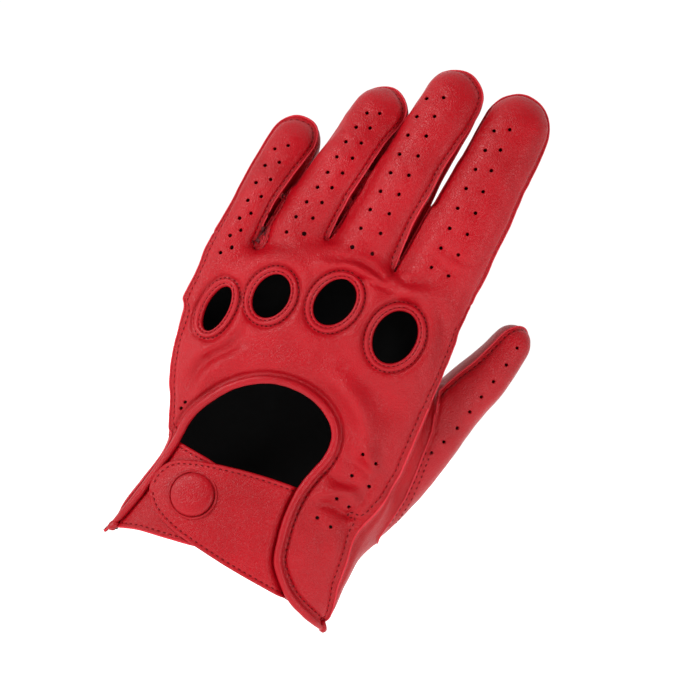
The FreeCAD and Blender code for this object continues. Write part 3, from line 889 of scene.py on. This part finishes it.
def build_skin():
    """The whole outer skin, refined where detail sits."""
    points, faces = surface_nets((-66.0, -25.0, -10.0), (78.0, 30.0, 217.0), GRID)
    points = settle(settle(points, 0.8), 0.8)
    for limit in ((0.64, 0.52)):
        points, faces = refine(points, faces, wanted_edges(limit))
        points = settle(points, 0.3)
    points, normals = on_skin(points)
    return {"points": points, "normals": normals, "faces": faces, "fields": all_fields(points)}


def vertex_normals(points, faces):
    a, b, c = (points[faces[:, k]] for k in range(3))
    cross = np.cross(b - a, c - a)
    out = np.zeros_like(points)
    for k in range(3):
        for axis in range(3):
            out[:, axis] += np.bincount(faces[:, k], cross[:, axis], len(points))
    return unit(out)


def ridge_and_groove(inner):
    """Height of the leather beside a raised seam, from the way in from it."""
    edge = 0.42 * bell(inner, np.where(inner > 0, 0.8, 0.35))
    return edge - 0.30 * bell(inner - SEAM_MARGIN, 0.55) + 0.2 * bell(inner - 3.3, 1.0)


def sewn_relief(skin):
    """Raise seam edges, sink the stitch lines and set the side walls back."""
    back, palm, root, ridge, _ = skin["fields"].T
    rise = (ridge_and_groove(-back) + ridge_and_groove(-palm) + ridge_and_groove(root) * 0.8
            + ridge_and_groove(-ridge))
    rise -= np.where((back > 0) & (palm > 0), 0.75 * ease(np.minimum(back, palm)), 0.0)
    moved = skin["points"] + skin["normals"] * (rise * ease((skin["points"][:, 2] + 4) / 6))[:, None]
    return {**skin, "points": moved, "normals": vertex_normals(moved, skin["faces"])}


def give_body(obj, body):
    """Ride the hand; a piece of any other body keeps its place, with its transform baked into the mesh."""
    if body == "hand":
        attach(obj, "hand")
        return
    if body == "strap":
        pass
    elif body == "thumb":
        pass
    else:
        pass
    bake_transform(obj)


def place_piece(obj, body, nodes=()):
    """Hand a piece to give_body and hide the CAD nodes that it stands for."""
    give_body(obj, body)
    if nodes:
        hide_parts(*nodes)


def leather_piece(name, skin, body, nodes, depth=LEATHER, plain=None, materials=(RED, FLESH_SIDE_SHADE)):
    """Thick leather under a piece of skin, handed to give_body with its body's name."""
    points, faces, normals, inner = thicken(skin, depth, plain)
    place_piece(make_object(name, points, faces, materials, normals, inner), body, nodes)


def rails(line, passes):
    """A line's softened points, and its directions out and to the side."""
    p, n = soften(line[:, :3], passes), line[:, 3:]
    tangent = unit(np.gradient(p, axis=0))
    n = unit(n - tangent * (n * tangent).sum(1)[:, None])
    return p, n, np.cross(tangent, n)


def around(p, n, side, across, out):
    """Rings of points about a path, from their offsets to the side and out."""
    return p[:, None] + side[:, None] * across[..., None] + n[:, None] * out[..., None]


def loft_faces(count, sides, closed=False, solid_axis=False):
    """Faces that join rings along a path, capped unless it closes on itself."""
    i = np.arange(count if closed else count - 1)[:, None]
    j = np.arange(sides - 1 if solid_axis else sides)[None]
    a, b, k = i * sides, ((i + 1) % count) * sides, (j + 1) % sides
    faces = np.stack([a + j, a + k, b + k, b + j], -1).reshape(-1, 4).tolist()
    ring = np.arange(count) * sides
    if solid_axis:
        faces += [ring[::-1].tolist(), (ring + sides - 1).tolist()]
    if not closed:
        faces += [list(range(sides))[::-1], list(range(ring[-1], ring[-1] + sides))]
    return faces


def joined(tubes):
    """One mesh of separate tubes, each an array of (along, round, 3)."""
    faces, start = [], 0
    for tube in tubes:
        faces += [[start + v for v in face] for face in loft_faces(*tube.shape[:2])]
        start += tube.shape[0] * tube.shape[1]
    return [tube.reshape(-1, 3) for tube in tubes], faces


def tube_mesh(lines, radius):
    """Tubes along polylines of points with normals."""
    angle = full_turn(8)
    tubes = []
    for line in lines:
        p, n, side = rails(resample(line, 0.5), 4)
        steps = np.arange(len(p))
        taper = radius * np.minimum(1, np.minimum(steps, steps[::-1]) / 3 + 0.15)
        tubes.append(around(p, n, side, np.outer(taper, np.cos(angle)), np.outer(taper, np.sin(angle))))
    return joined(tubes)


def stitch_mesh(lines, lift=0.02, pitch=STITCH_PITCH, length=STITCH_LENGTH):
    """Short rounded stitches along polylines of points with normals."""
    angle = full_turn(6)[:, None]
    ends = np.linspace(-1, 1, 5)[:, None]
    thick = STITCH_RADIUS * np.array([0.35, 0.9, 1.0, 0.9, 0.35])[:, None, None]
    tubes = []
    for line in lines:
        fine = resample(line, pitch / 6)
        p, n = soften(fine[:, :3], 6), unit(fine[:, 3:])
        for m in range(4, len(p) - 4, 6):
            tangent = unit(p[m + 2] - p[m - 2])
            side = unit(np.cross(tangent, n[m]))
            up = np.cross(side, tangent)
            centre = p[m] + tangent * ends * length / 2 + up * (lift - 0.10 * ends ** 2)
            tubes.append(centre[:, None] + (side * np.cos(angle) + up * 0.85 * np.sin(angle)) * thick)
    return joined(tubes)


def line_object(name, mesh, body, material):
    points, faces = mesh
    if faces:
        place_piece(make_object(name, np.vstack(points), faces, [material]), body)


def seam(name, body, *sides):
    """Raised cut edges and stitches along the seams of (skin, field number)."""
    edges, rows = [], []
    for skin, column in sides:
        edges += contour(skin, skin["fields"][:, column] + EDGE_IN)
        rows += contour(skin, skin["fields"][:, column] + SEAM_MARGIN)
    line_object(name + "_seam_edges", tube_mesh(edges, EDGE_RADIUS), body, EDGE_RED)
    line_object(name + "_stitches", stitch_mesh(rows), body, THREAD)


def on_hand_cut(plane):
    """Tells which rim points lie on the hidden cut of continuous leather."""
    return lambda p: np.abs(plane(p)) < 0.9


def finger_field(name, p):
    """Positive on one finger's leather, past its cut from the hand's."""
    index = NAMES.index(name)
    inside = finger_plane(name, p)
    if index > 0:
        inside = np.minimum(inside, slit(index - 1, *p.T)[0])
    if index < 3:
        inside = np.minimum(inside, -slit(index, *p.T)[0])
    return inside


def pierce(skin):
    """The same skin with its ventilation holes."""
    return split(skin, skin["fields"][:, HOLE])[1]


def build_finger(name, skin):
    """Back, palm and wall panels of one finger with seams and stitches."""
    body = name + "_finger"
    plain = on_hand_cut(lambda p: finger_plane(name, p))
    back, rest = split(skin, skin["fields"][:, BACK])
    palm, walls = split(rest, rest["fields"][:, PALM])
    leather_piece(name + "_back_leather", pierce(back), body, [name + "_back"], plain=plain)
    leather_piece(name + "_palm_leather", palm, body, [name + "_palm"], plain=plain)
    across = finger_coords(name, *walls["points"].T)[1]
    for flag, side, wall in zip(FINGERS[name][9], ("little_side", "thumb_side"), split(walls, across)):
        if flag and len(wall["faces"]) > 20:
            leather_piece("%s_wall_%s" % (name, side), wall, body,
                          ["%s_fourchette_%s" % (name, side)], 0.7, plain, (RED, RED))
    seam(name, body, (back, BACK), (palm, PALM))


def build_thumb(skin):
    """Back and palm panels of the thumb's moving part."""
    plain = on_hand_cut(thumb_plane)
    palm, back = split(skin, -skin["fields"][:, RIDGE])
    leather_piece("thumb_back_leather", pierce(back), "thumb", ["thumb_back"], plain=plain)
    leather_piece("thumb_palm_leather", palm, "thumb", ["thumb_palm"], plain=plain)
    seam("thumb", "thumb", (back, RIDGE))


def build_hand(skin):
    """Back panel with its openings, palm panel and the set-in root of the thumb."""
    back, rest = split(skin, skin["fields"][:, BACK])
    x, _, z = back["points"].T
    cuts = [polygon_distance(x, z, OPENING_LINE) - 0.6, back["fields"][:, HOLE], z - 0.6]
    cuts += [ellipse_distance(x, z, knuckle) - 0.8 for knuckle in KNUCKLES.values()]
    panel, _ = split(back, -np.minimum.reduce(cuts))
    plain = on_hand_cut(lambda p: np.minimum.reduce([np.abs(finger_plane(name, p)) for name in NAMES]))
    leather_piece("back_panel_leather", panel, "hand", ["back_panel"], plain=plain)

    hem = np.interp(rest["points"][:, 0], PALM_HEM[:, 0], PALM_HEM[:, 1]) - rest["points"][:, 2]
    palm, _ = split(rest, hem)
    palm, root = split(palm, palm["fields"][:, ROOT])
    leather_piece("palm_panel_leather", palm, "hand", ["palm_panel"], plain=plain)
    # The thumb root's inner face is painted black shade, seen through its holes.
    leather_piece("thumb_root_leather", pierce(root), "hand", ["thumb_root"],
                  plain=on_hand_cut(thumb_plane), materials=(RED, BLACK_INNER_SHADE))
    # Black lining sheet under the palm leather, put there as painted shade for the holes and openings.
    lining_top = np.interp(palm["points"][:, 0], [-38.0, -26.0], [111.0, 126.0])
    lining, _ = split(palm, palm["points"][:, 2] - lining_top)
    lining["points"] = lining["points"] - lining["normals"] * (LEATHER + 0.25)
    leather_piece("palm_lining_cloth", lining, "hand", ["palm_lining"], 0.4, None, (LINING, LINING))

    edges = contour(panel, panel["fields"][:, BACK] + EDGE_IN) + contour(root, root["fields"][:, ROOT] - 0.2)
    line_object("hand_seam_edges", tube_mesh(edges, EDGE_RADIUS), "hand", EDGE_RED)
    rows = contour(panel, panel["fields"][:, BACK] + SEAM_MARGIN)
    for way_in in (1.2, 2.9):
        for line in contour(root, root["fields"][:, ROOT] - way_in):
            rows.append(line[(line[:, 2] > 44) & (line[:, 2] < 78) & (line[:, 1] < 12)])
    rows = [line for line in rows if len(line) > 8]
    x, _, z = panel["points"].T
    wing = np.where(x > 5, polygon_distance(x, z, OPENING_LINE) - 3.0, 9.0)
    rows += [line[line[:, 2] < 62] for line in contour(panel, wing)]
    line_object("hand_stitches", stitch_mesh(rows), "hand", THREAD)
    return contour(rest, hem)


# ---- bindings, strap and press stud ------------------------------------------
def plain_y(x, z):
    """The back's surface without folds."""
    left, right, back, palm, fall, _, _ = hand_values(z)
    u = np.clip((x - (left + right) / 2) / ((right - left) / 2), -0.985, 0.985)
    return -back * (1 - np.abs(u) ** POWER) ** (1 / POWER) - fall * u


def plain_normal(x, z, step=0.6):
    dx = (plain_y(x + step, z) - plain_y(x - step, z)) / (2 * step)
    dz = (plain_y(x, z + step) - plain_y(x, z - step)) / (2 * step)
    return unit(np.stack([dx, -np.ones_like(dx), dz], -1))


def swept(name, points, body, material, nodes, closed, solid_axis=False):
    """A closed profile swept along a path: points is (along, round, 3)."""
    faces = loft_faces(*points.shape[:2], closed, solid_axis)
    obj = make_object(name, points.reshape(-1, 3), faces, [material])
    shape = bmesh.new()
    shape.from_mesh(obj.data)
    bmesh.ops.recalc_face_normals(shape, faces=shape.faces)
    shape.to_mesh(obj.data)
    shape.free()
    place_piece(obj, body, nodes)


# A knuckle ring: (distance out from the hole, height over the leather) rows.
RING_PROFILE = np.array([
    (0.6, -1.7), (0.1, -1.5), (-0.15, -0.9), (-0.1, -0.25), (0.12, 0.2), (0.5, 0.42), (0.78, 0.28),
    (0.98, 0.14), (1.18, 0.36), (1.45, 0.72), (1.9, 0.9), (2.35, 0.78), (2.65, 0.36), (2.76, -0.3),
    (2.6, -0.7), (1.7, -1.2),
])


def knuckle_ring(name):
    """Folded binding round one knuckle hole, with its two rows of stitches."""
    kx, kz, long_radius, short_radius, tilt = KNUCKLES[name]
    angle = full_turn(110)

    def ring(distance):
        na, nc = np.cos(angle) / long_radius, np.sin(angle) / short_radius
        size = np.hypot(na, nc)
        along = long_radius * np.cos(angle) + distance * na / size
        across = short_radius * np.sin(angle) + distance * nc / size
        x, z = turned(across, along, math.radians(-tilt))
        return kx + x, kz + z

    def lifted(distance, height):
        x, z = ring(max(distance, 0.9))
        surface = back_point(x, z)
        _, normal = on_skin(surface)
        x2, z2 = ring(distance)
        shift = np.stack([x2 - x, np.zeros_like(x), z2 - z], 1)
        shift -= normal * (shift * normal).sum(1)[:, None]
        return np.hstack([surface + shift + normal * height, normal])

    rows = np.stack([lifted(d, h)[:, :3] for d, h in RING_PROFILE], 1)
    rows = 0.6 * rows + 0.2 * (np.roll(rows, 1, 0) + np.roll(rows, -1, 0))
    swept(name + "_knuckle_ring", rows, "hand", BINDING_RED, ["knuckle_binding_" + name], True)
    lines = [lifted(distance, height) for distance, height in ((0.98, 0.16), (RING_WIDTH + 0.35, 0.0))]
    lines = [np.vstack([line, line[:1]]) for line in lines]
    line_object(name + "_knuckle_stitches", stitch_mesh(lines, 0.04, 1.75, 1.05), "hand", THREAD)


def piping():
    """Rounded binding round the wrist opening, down to both cuff corners."""
    x, z = soften(smooth_line(OPENING[1:-1], 0.7), 6).T
    centre, normal, side = rails(np.column_stack([x, plain_y(x, z), z, plain_normal(x, z)]), 0)
    angle = full_turn(20)
    along = np.arange(len(x)) * 0.7
    off_end = ease(np.minimum(along, along[::-1]) / 9)
    wave = 1 + 0.03 * np.sin(along * 0.41) + 0.02 * np.sin(along * 1.13 + 1)
    width = 1.5 * (0.55 + 0.45 * off_end) * wave
    height = 1.3 * (0.75 + 0.25 * off_end)
    rolled = np.sign(np.sin(angle)) * np.abs(np.sin(angle)) ** 0.8
    points = around(centre, normal, side, np.outer(width, np.cos(angle)), 0.3 + np.outer(height, rolled))
    swept("opening_piping", points, "hand", BINDING_RED, ["opening_binding"], False)
    for name, end in (("little_side_knot", 0), ("thumb_side_knot", -1)):
        knot(name, centre[end] + normal[end] * 0.2)


# A knot's (place along it, radius) rows.
KNOT_PROFILE = [(-3.4, 1.0), (-2.4, 1.6), (-1.2, 1.85), (-0.2, 1.75), (0.6, 1.45), (1.1, 0.95), (1.35, 0.3)]


def knot(name, centre):
    """Small pointed tuck of leather at a corner of the cuff."""
    outward = unit(np.array([np.sign(centre[0]) * 0.55, 0.1, -0.83]))
    side = unit(np.cross(outward, [0, 1, 0]))
    deep = np.cross(side, outward)
    angle = full_turn(14)[:, None]
    round_it = side * np.cos(angle) * 0.9 + deep * np.sin(angle)
    rows = [centre + outward * t + round_it * r * (1 + 0.1 * np.sin(3 * angle + t))
            for t, r in KNOT_PROFILE]
    swept(name, np.array(rows), "hand", BINDING_RED, [], False)


def plate_skin(outline, distance, step=0.7):
    """Flat grid inside an outline in the x-z plane, finer near its edge."""
    low, high = outline.min(0) - 2, outline.max(0) + 2
    gx, gz = np.meshgrid(np.arange(low[0], high[0], step), np.arange(low[1], high[1], step), indexing="ij")
    index = np.arange(gx.size).reshape(gx.shape)
    a, b, c, d = index[:-1, :-1], index[1:, :-1], index[1:, 1:], index[:-1, 1:]
    faces = np.vstack([np.stack(t, -1).reshape(-1, 3) for t in ((a, b, c), (a, c, d))])
    points = np.column_stack([gx.ravel(), np.zeros(gx.size), gz.ravel()])
    points, faces = refine(points, faces, lambda m, length: (
        (np.abs(distance(m[:, 0], m[:, 2]) + 1.0) < 1.9) & (length > 0.45)))
    fields = distance(points[:, 0], points[:, 2])[:, None]
    flat = {"points": points, "normals": np.zeros_like(points), "faces": faces, "fields": fields}
    return split(flat, fields[:, 0])[0]


def plate(name, outline, distance, height, depth, body, nodes, inner, groove=True):
    """Leather plate lying on the hand: distance is negative inside its edge."""
    skin = plate_skin(outline, distance)
    x, _, z = skin["points"].T
    field = skin["fields"][:, 0]
    lift = height(x, z) - 0.55 * (1 - np.sqrt(1 - np.clip(1 + field / 0.7, 0, 1) ** 2))
    if groove:
        lift -= 0.24 * bell(field + 1.6, 0.5) - 0.12 * bell(field + 0.8, 0.5)
    normal = plain_normal(x, z)
    skin["points"] = np.stack([x, plain_y(x, z), z], 1) + normal * lift[:, None]
    skin["normals"] = vertex_normals(skin["points"], skin["faces"])
    if (skin["normals"] * normal).sum(1).mean() < 0:
        skin["faces"] = skin["faces"][:, ::-1]
        skin["normals"] = -skin["normals"]
    leather_piece(name, skin, body, nodes, depth, None, (RED, inner))
    return skin


STRAP_LINE = smooth_line(STRAP, 0.8, closed=True)
TAB_LINE = smooth_line(STUD_TAB, 0.8, closed=True)


def strap_distance(x, z):
    inside = polygon_distance(x, z, STRAP_LINE)
    under = np.where(x > 5, polygon_distance(x, z, OPENING_LINE) - 3.2, -9)
    return smooth_max(inside, under, 0.6)


def strap_height(x, z):
    """The strap lies at the piping's level and dives under the right wing."""
    under = polygon_distance(x, z, OPENING_LINE)
    dive = np.where(x > 5, ease((under + 4.2) / 3.6), 0.0)
    swell = 0.16 * np.sin(x * 0.13 + 1) * np.sin(z * 0.11)
    return 0.75 + swell - 2.35 * dive


def tab_distance(x, z):
    inside = polygon_distance(x, z, TAB_LINE)
    return np.maximum(inside, polygon_distance(x, z, OPENING_LINE) - 0.9)


def tab_height(x, z):
    return -1.25 + 0.25 * ease((-20 - x) / 14) + 0.06 * np.sin(z * 0.3 + x * 0.2)


def lathe(name, profile, centre, axis, body, material, nodes):
    """Body of revolution: profile rows are (radius, height along axis)."""
    side = unit(np.cross(axis, [0, 0, 1.0]))
    angle = full_turn(64)[:, None]
    ring = side * np.cos(angle) + np.cross(axis, side) * np.sin(angle)
    wobble = 0.0 if material == METAL else 0.004
    ring = ring * (1 + wobble * np.sin(2 * angle + 1))
    points = np.stack([centre + axis * height + ring * radius for radius, height in profile], 1)
    swept(name, points, body, material, nodes, True, profile[0][0] < 1)


# Press stud: height over the hand, body, material, CAD nodes and the profile as
# (radius, height) rows.
SNAP_PIECES = {
    "snap_cap_leather": (0.75, "strap", BINDING_RED, ["snap_cap"], [
        (0.5, -0.2), (7.2, -0.2), (7.9, 0.05), (8.1, 0.45), (7.95, 0.9), (7.6, 1.3), (7.0, 1.62),
        (6.0, 1.85), (4.5, 2.02), (2.5, 2.12), (0.5, 2.16)]),
    "snap_cap_seat": (0.75, "strap", RED, [], [
        (8.2, -0.4), (8.9, -0.4), (9.3, -0.05), (9.0, 0.08), (8.6, 0.02), (8.3, -0.15)]),
    "snap_socket_metal": (0.75, "strap", METAL, ["snap_socket"], [
        (2.8, -1.75), (5.2, -1.75), (5.5, -1.5), (5.5, -1.2), (2.8, -1.2)]),
    "snap_stud_metal": (0.0, "hand", METAL, ["snap_stud"], [
        (0.5, -1.9), (4.8, -1.9), (5.0, -1.7), (2.0, -1.35), (1.9, -0.9), (2.3, -0.4), (2.1, -0.05),
        (1.2, 0.1), (0.5, 0.12)]),
    "stud_eyelet_metal": (0.0, "hand", METAL, ["stud_eyelet"], [
        (1.5, -2.9), (4.8, -2.9), (5.0, -2.6), (4.8, -2.45), (1.5, -2.45)]),
}


def build_strap():
    """Stud tab, closing strap with its lining, and the press stud."""
    # The tab's underside, under the strap, is painted black shade.
    tab = plate("stud_tab_leather", TAB_LINE, tab_distance, tab_height, 1.1, "hand", ["stud_tab"], BLACK_INNER_SHADE)
    strap = plate("closing_strap_leather", STRAP_LINE, strap_distance, strap_height, 1.0, "strap",
                  ["closing_strap", "strap_fixed_end"], RED)
    plate("strap_lining_leather", STRAP_LINE, lambda x, z: strap_distance(x, z) + 0.25,
          lambda x, z: strap_height(x, z) - 1.02, 0.45, "strap", ["strap_lining"], RED, False)
    rows = contour(strap, strap["fields"][:, 0] + 1.6)
    line_object("strap_stitches", stitch_mesh(rows), "strap", THREAD)
    rows = [line[line[:, 0] > -41.5] for line in contour(tab, tab["fields"][:, 0] + 1.6)]
    line_object("tab_stitches", stitch_mesh(rows), "hand", THREAD)
    hem = [line[line[:, 2] < 14] for line in contour(tab, tab["fields"][:, 0] + 0.15)]
    line_object("tab_hem_edge", tube_mesh([line for line in hem if len(line) > 8], 0.42), "hand", EDGE_RED)
    x, z = np.array(SNAP_AT)[:, None]
    axis = plain_normal(x, z)[0]
    base = np.array([SNAP_AT[0], plain_y(x, z)[0], SNAP_AT[1]])
    for name, (lift, body, material, nodes, profile) in SNAP_PIECES.items():
        lathe(name, profile, base + axis * lift, axis, body, material, nodes)


def hem_binding(lines):
    """Thin folded edge along the palm's hem."""
    line = resample(max(lines, key=len), 0.8)
    p, _, side = rails(line, 4)
    angle = full_turn(14)
    points = around(p, line[:, 3:], side, 1.1 * np.cos(angle), -0.5 + 0.95 * np.sin(angle))
    swept("palm_hem_edge", points, "hand", BINDING_RED, ["palm_hem_binding"], False)


def build_glove():
    """The leather cut into its panels, then the bindings and the strap."""
    skin = sewn_relief(build_skin())
    rest, thumb = split(skin, thumb_plane(skin["points"]))
    build_thumb(thumb)
    for finger in NAMES:
        rest, piece = split(rest, finger_field(finger, rest["points"]))
        build_finger(finger, piece)
    hem_binding(build_hand(rest))
    for finger in NAMES:
        knuckle_ring(finger)
    piping()
    build_strap()


# ---- studio ------------------------------------------------------------------
def studio():
    """White floor and surroundings, two soft lamps and the camera."""
    scene = bpy.context.scene
    scene.view_settings.view_transform = "Standard"
    scene.world = bpy.data.worlds.new("studio")
    scene.world.use_nodes = True
    tree = scene.world.node_tree
    way = node(tree, "SeparateXYZ", {0: node(tree, "TexCoord", {})["Generated"]})["Y"]
    bright = node(tree, "MapRange", {"Value": way, "From Min": -0.35, "From Max": 0.15, "To Min": 0.2,
                                     "To Max": 1.05})["Result"]
    feed(tree, tree.nodes["Background"], {"Strength": bright, "Color": (1, 1, 1, 1)})

    right, up = Vector((0.9026, 0.0, 0.4305)), Vector((-0.4305, 0.0, 0.9026))
    away = right.cross(up)
    camera = bpy.data.cameras.new("camera")
    camera.lens = 120
    camera.sensor_width = 36
    scene.camera = bpy.data.objects.new("camera", camera)
    scene.collection.objects.link(scene.camera)
    turn = Matrix((right, up, away)).transposed().to_4x4()
    scene.camera.matrix_world = Matrix.Translation(Vector((0.0082, 0.0, 0.0986)) + away * 0.8755) @ turn

    white, tree, shader, place = new_material("white_floor")
    way = node(tree, "SeparateXYZ", {0: place})["Y"]
    glow = node(tree, "MapRange", {"Value": way, "From Min": -1.6, "From Max": 0.0, "To Min": 0.5,
                                   "To Max": 0.9})["Result"]
    feed(tree, shader, {"Base Color": (0.8, 0.8, 0.8, 1), "Emission Color": (1, 1, 1, 1),
                        "Roughness": 0.9, "Emission Strength": glow})
    r = 6000.0
    corners = np.array([(-r, -r, 0), (r, -r, 0), (r, r, 0), (-r, r, 0)])
    floor = make_object("floor", corners, [(0, 1, 2, 3)], [white])
    floor.location.z = -0.06

    lamps = (("key", (-1.1, -0.85, 0.55), 0.42, 15), ("fill", (0.9, -1.0, 0.35), 0.5, 7.5))
    for name, place, size, power in lamps:
        data = bpy.data.lights.new(name, "AREA")
        data.size = size
        data.energy = power
        lamp = bpy.data.objects.new(name, data)
        lamp.location = place
        lamp.rotation_mode = "QUATERNION"
        lamp.rotation_quaternion = (Vector((0, 0, 0.1)) - Vector(place)).to_track_quat("-Z", "Y")
        scene.collection.objects.link(lamp)


build_glove()
studio()
